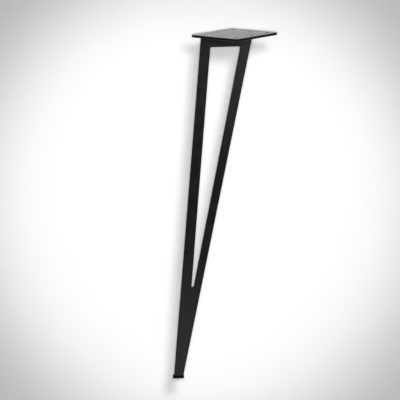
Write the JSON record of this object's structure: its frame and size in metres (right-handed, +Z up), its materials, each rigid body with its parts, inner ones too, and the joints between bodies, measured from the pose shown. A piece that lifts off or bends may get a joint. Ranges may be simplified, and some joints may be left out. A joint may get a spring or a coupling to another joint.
{
  "type": "table leg",
  "caption": "Slanted flat-blade steel table leg with a long triangular window, a square screw plate on top and a plastic cap on the tip.",
  "frame": {"origin": "centre of the mounting plate's top face, the face that meets the underside of the tabletop", "axes": "+Z up, out of the plate's top face; the blade stands in the XZ plane, leans towards -X as it goes down, and shows its front face to -Y; the square plate's corners point along X and Y"},
  "size_m": [0.2262, 0.1702, 0.71],
  "materials": {
    "powder_coat": "satin near-black powder coat with a fine orange-peel texture",
    "cap_plastic": "matt black moulded plastic"
  },
  "bodies": {
    "root": {"mounting_plate": "powder_coat", "leg_blade": "powder_coat", "weld_front": "powder_coat", "weld_back": "powder_coat", "foot_cap": "cap_plastic"}
  },
  "joints": []
}
